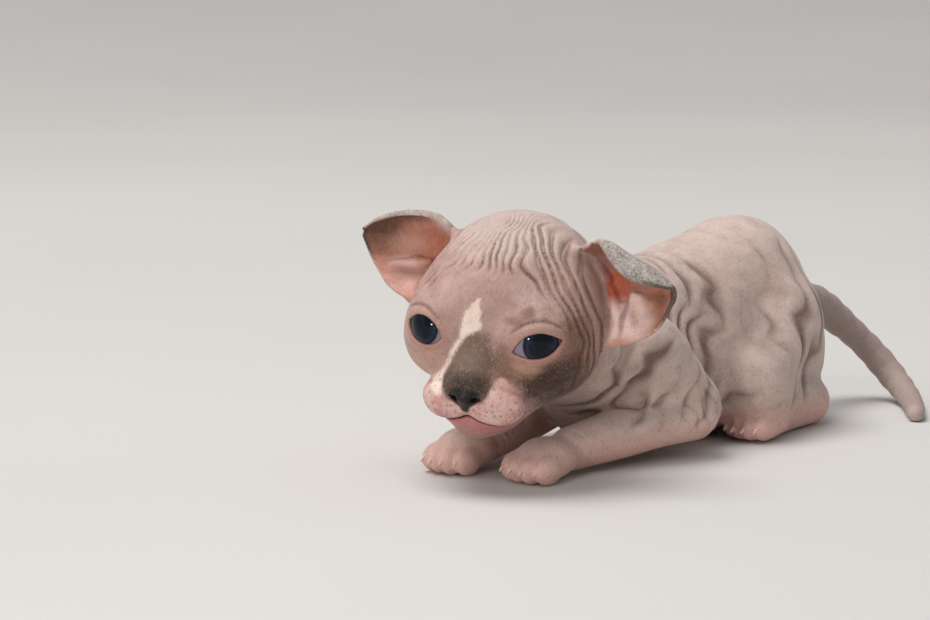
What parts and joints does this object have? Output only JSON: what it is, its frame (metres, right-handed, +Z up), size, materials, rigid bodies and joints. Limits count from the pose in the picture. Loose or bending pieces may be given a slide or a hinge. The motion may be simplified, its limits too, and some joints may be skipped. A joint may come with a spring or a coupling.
{
  "type": "sphynx kitten",
  "caption": "Still, life-size hairless kitten a few weeks old, crouching with its chin low over its forepaws and its tail curled round.",
  "frame": {"origin": "on the floor, in the middle of the small flat under the breastbone", "axes": "+X towards the tail, along the straight of the back, so the kitten faces -X; -Y is its left side; +Z up"},
  "size_m": [0.1812, 0.0752, 0.0635],
  "materials": {
    "skin": "bare warm skin, pinkish beige with grey-brown shading, a fine peach fuzz and soft wrinkles",
    "nose_leather": "dark damp nose leather with a pinkish rim at the nostrils",
    "eyes": "wet dark blue eye with a grey-lavender white near the inner corner"
  },
  "bodies": {
    "root": {"head": "skin", "lower_jaw": "skin", "nose": "nose_leather", "eye_left": "eyes", "eye_right": "eyes", "ear_left": "skin", "ear_right": "skin", "neck": "skin", "chest": "skin", "abdomen": "skin", "rump": "skin", "foreleg_left": "skin", "foreleg_right": "skin", "forepaw_left": "skin", "forepaw_right": "skin", "hind_leg_left": "skin", "hind_leg_right": "skin", "hind_foot_left": "skin", "hind_foot_right": "skin", "tail_base": "skin", "tail_upper": "skin", "tail_lower": "skin", "tail_tip": "skin"}
  },
  "joints": []
}
